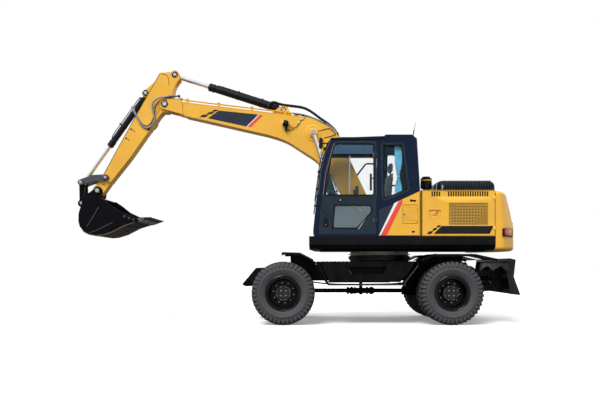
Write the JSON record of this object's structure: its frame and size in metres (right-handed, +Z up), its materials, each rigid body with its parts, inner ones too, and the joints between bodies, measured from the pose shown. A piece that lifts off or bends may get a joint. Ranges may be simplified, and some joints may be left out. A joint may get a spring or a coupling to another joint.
{
  "type": "wheeled excavator",
  "caption": "Wheeled excavator with a slewing upper works and cab, hinged boom, stick and bucket, twin-tyred axles, front steering and a dozer blade.",
  "frame": {"origin": "on the ground under the middle of the bounding box", "axes": "+X forward, the way the boom points at rest; +Y to the left, the cab side; +Z up"},
  "size_m": [7.789, 2.4928, 4.501],
  "materials": {
    "machine_yellow": "satin",
    "cab_navy": "satin",
    "black_steel": "satin",
    "skirt_black": "satin",
    "rim_grey": "satin",
    "tyre_rubber": "matte",
    "chromed_steel": "polished",
    "pale_grey_paint": "satin",
    "tinted_glass": "clear",
    "seat_fabric": "woven",
    "curtain_fabric": "woven",
    "dark_plastic": "matte",
    "lamp_plastic": "gloss",
    "engine_iron": "cast",
    "hose_rubber": "matte"
  },
  "bodies": {
    "chassis": {"chassis_frame": "black_steel", "fenders": "black_steel", "step_boxes": "black_steel", "front_axle": "black_steel", "rear_axle": "black_steel", "driveline": "black_steel", "slew_ring": "black_steel"},
    "left_knuckle": {"left_knuckle": "black_steel"},
    "right_knuckle": {"right_knuckle": "black_steel"},
    "tie_rod": {"tie_rod": "black_steel"},
    "front_left_wheel": {"front_left_tyres": "tyre_rubber", "front_left_wheel": "rim_grey"},
    "front_right_wheel": {"front_right_tyres": "tyre_rubber", "front_right_wheel": "rim_grey"},
    "rear_left_wheel": {"rear_left_tyres": "tyre_rubber", "rear_left_wheel": "rim_grey"},
    "rear_right_wheel": {"rear_right_tyres": "tyre_rubber", "rear_right_wheel": "rim_grey"},
    "blade_arms": {"blade_lower_arms": "black_steel"},
    "blade_links": {"blade_upper_links": "black_steel"},
    "blade": {"dozer_blade": "black_steel"},
    "blade_barrels": {"blade_cylinder_barrel": "black_steel"},
    "blade_rods": {"blade_cylinder_rod": "chromed_steel"},
    "upper": {"upper_frame": "black_steel", "deck_skirts": "skirt_black", "counterweight": "machine_yellow", "cab_shell": "cab_navy", "cab_glass": "tinted_glass", "cab_side_panel": "machine_yellow", "seat_base": "dark_plastic", "driver_seat": "seat_fabric", "steering_column": "dark_plastic", "curtain": "curtain_fabric", "bay_frame": "black_steel", "engine_block": "engine_iron", "air_precleaner": "black_steel", "right_tanks": "machine_yellow", "handrails": "black_steel", "mirrors": "black_steel", "tail_lamps": "lamp_plastic"},
    "cab_door": {"cab_door": "cab_navy", "door_glass": "tinted_glass"},
    "filter_hatch": {"filter_hatch": "machine_yellow"},
    "left_bay_door": {"left_bay_door": "machine_yellow"},
    "right_bay_door": {"right_bay_door": "machine_yellow"},
    "engine_hood": {"engine_hood": "black_steel"},
    "boom": {"boom": "machine_yellow", "boom_pipes": "machine_yellow", "boom_lamp": "dark_plastic"},
    "boom_barrels": {"boom_cylinder_barrel": "black_steel"},
    "boom_rods": {"boom_cylinder_rod": "chromed_steel"},
    "stick": {"stick": "machine_yellow"},
    "arm_barrel": {"arm_cylinder_barrel": "black_steel"},
    "arm_rod": {"arm_cylinder_rod": "chromed_steel"},
    "bucket": {"bucket": "black_steel"},
    "rocker": {"rocker_links": "pale_grey_paint"},
    "bucket_link": {"bucket_link": "black_steel"},
    "bucket_barrel": {"bucket_cylinder_barrel": "black_steel"},
    "bucket_rod": {"bucket_cylinder_rod": "chromed_steel"}
  },
  "joints": [
    {"name": "slew", "type": "hinge", "parent": "chassis", "child": "upper", "pos_m": [-1.5315, 0, 1.165], "axis": [0, 0, 1], "continuous": true},
    {"name": "boom_lift", "type": "hinge", "parent": "upper", "child": "boom", "pos_m": [-1.2315, 0, 1.93], "axis": [0, -1, 0], "range_deg": [-50, 25]},
    {"name": "stick_swing", "type": "hinge", "parent": "boom", "child": "stick", "pos_m": [2.3315, 0, 3.886], "axis": [0, 1, 0], "range_deg": [-25, 45]},
    {"name": "bucket_curl", "type": "hinge", "parent": "stick", "child": "bucket", "pos_m": [3.5425, 0, 2.334], "axis": [0, 1, 0], "range_deg": [-85, 30]},
    {"name": "boom_barrel_turn", "type": "hinge", "parent": "upper", "child": "boom_barrels", "pos_m": [-0.8915, 0, 1.56], "axis": [0, -1, 0], "range_deg": [-47.61, 24.5]},
    {"name": "boom_rod_slide", "type": "slide", "parent": "boom_barrels", "child": "boom_rods", "axis": [0.294, 0, 0.9558], "range_m": [-0.3752, 0.193]},
    {"name": "arm_barrel_turn", "type": "hinge", "parent": "boom", "child": "arm_barrel", "pos_m": [0.2055, 0, 3.8], "axis": [0, 1, 0], "range_deg": [-1.18, 2.02]},
    {"name": "arm_rod_slide", "type": "slide", "parent": "arm_barrel", "child": "arm_rod", "axis": [0.9526, 0, 0.3042], "range_m": [-0.2528, 0.4443]},
    {"name": "rocker_turn", "type": "hinge", "parent": "stick", "child": "rocker", "pos_m": [3.3925, 0, 2.57], "axis": [0, 1, 0], "range_deg": [-65.91, 24.93]},
    {"name": "link_turn", "type": "hinge", "parent": "rocker", "child": "bucket_link", "pos_m": [3.8355, 0, 2.482], "axis": [0, 1, 0], "range_deg": [-13.75, 36.35]},
    {"name": "bucket_barrel_turn", "type": "hinge", "parent": "stick", "child": "bucket_barrel", "pos_m": [2.6845, 0, 4.095], "axis": [0, 1, 0], "range_deg": [-6.88, 2.6]},
    {"name": "bucket_rod_slide", "type": "slide", "parent": "bucket_barrel", "child": "bucket_rod", "axis": [0.5809, 0, -0.814], "range_m": [-0.4086, 0.1512]},
    {"name": "blade_lift", "type": "hinge", "parent": "chassis", "child": "blade_arms", "pos_m": [-2.8215, 0, 0.57], "axis": [0, 1, 0], "range_deg": [-47, 5]},
    {"name": "blade_link_turn", "type": "hinge", "parent": "chassis", "child": "blade_links", "pos_m": [-2.8465, 0, 0.823], "axis": [0, 1, 0], "range_deg": [-48, 6]},
    {"name": "blade_turn", "type": "hinge", "parent": "blade_arms", "child": "blade", "pos_m": [-3.4945, 0, 0.604], "axis": [0, 1, 0], "range_deg": [-6, 48]},
    {"name": "blade_barrel_turn", "type": "hinge", "parent": "chassis", "child": "blade_barrels", "pos_m": [-3.0315, 0, 1], "axis": [0, 1, 0], "range_deg": [-40.1, 6.15]},
    {"name": "blade_rod_slide", "type": "slide", "parent": "blade_barrels", "child": "blade_rods", "axis": [-0.8522, 0, -0.5232], "range_m": [-0.0369, 0.2939]},
    {"name": "steer_left", "type": "hinge", "parent": "chassis", "child": "left_knuckle", "pos_m": [0.1685, 0.66, 0.527], "axis": [0, 0, 1], "range_deg": [-28, 28]},
    {"name": "steer_right", "type": "hinge", "parent": "chassis", "child": "right_knuckle", "pos_m": [0.1685, -0.66, 0.527], "axis": [0, 0, 1], "range_deg": [-29, 29]},
    {"name": "tie_rod_slide", "type": "slide", "parent": "chassis", "child": "tie_rod", "axis": [0, 1, 0], "range_m": [-0.0769, 0.0769]},
    {"name": "front_left_wheel_spin", "type": "hinge", "parent": "left_knuckle", "child": "front_left_wheel", "pos_m": [0.1685, 0.935, 0.527], "axis": [0, 1, 0], "continuous": true},
    {"name": "front_right_wheel_spin", "type": "hinge", "parent": "right_knuckle", "child": "front_right_wheel", "pos_m": [0.1685, -0.935, 0.527], "axis": [0, 1, 0], "continuous": true},
    {"name": "rear_left_wheel_spin", "type": "hinge", "parent": "chassis", "child": "rear_left_wheel", "pos_m": [-2.6315, 0.935, 0.527], "axis": [0, 1, 0], "continuous": true},
    {"name": "rear_right_wheel_spin", "type": "hinge", "parent": "chassis", "child": "rear_right_wheel", "pos_m": [-2.6315, -0.935, 0.527], "axis": [0, 1, 0], "continuous": true},
    {"name": "cab_door_hinge", "type": "hinge", "parent": "upper", "child": "cab_door", "pos_m": [-1.3915, 1.234, 2.25], "axis": [0, 0, 1], "range_deg": [0, 85]},
    {"name": "filter_hatch_hinge", "type": "hinge", "parent": "upper", "child": "filter_hatch", "pos_m": [-2.0535, 1.233, 1.84], "axis": [0, 0, 1], "range_deg": [0, 80]},
    {"name": "left_bay_door_hinge", "type": "hinge", "parent": "upper", "child": "left_bay_door", "pos_m": [-3.3385, 1.235, 1.85], "axis": [0, 0, 1], "range_deg": [0, 85]},
    {"name": "right_bay_door_hinge", "type": "hinge", "parent": "upper", "child": "right_bay_door", "pos_m": [-3.3385, -1.235, 1.85], "axis": [0, 0, -1], "range_deg": [0, 85]},
    {"name": "engine_hood_hinge", "type": "hinge", "parent": "upper", "child": "engine_hood", "pos_m": [-3.3995, 0, 2.256], "axis": [0, -1, 0], "range_deg": [0, 50]}
  ],
  "couplings": [
    {"joint": "boom_barrel_turn", "follows": "boom_lift", "ratio": 0.92439},
    {"joint": "boom_rod_slide", "follows": "boom_lift", "m_per_rad": 0.41738},
    {"joint": "arm_barrel_turn", "follows": "stick_swing", "ratio": 0.04158},
    {"joint": "arm_rod_slide", "follows": "stick_swing", "m_per_rad": 0.54862},
    {"joint": "rocker_turn", "follows": "bucket_curl", "ratio": 0.74519},
    {"joint": "link_turn", "follows": "bucket_curl", "ratio": -0.41096},
    {"joint": "bucket_barrel_turn", "follows": "bucket_curl", "ratio": 0.07775},
    {"joint": "bucket_rod_slide", "follows": "bucket_curl", "m_per_rad": 0.26817},
    {"joint": "blade_link_turn", "follows": "blade_lift", "ratio": 1},
    {"joint": "blade_turn", "follows": "blade_lift", "ratio": -1},
    {"joint": "blade_barrel_turn", "follows": "blade_lift", "ratio": 0.80856},
    {"joint": "blade_rod_slide", "follows": "blade_lift", "m_per_rad": -0.35047},
    {"joint": "steer_right", "follows": "steer_left", "ratio": 1},
    {"joint": "tie_rod_slide", "follows": "steer_left", "m_per_rad": -0.1441}
  ]
}
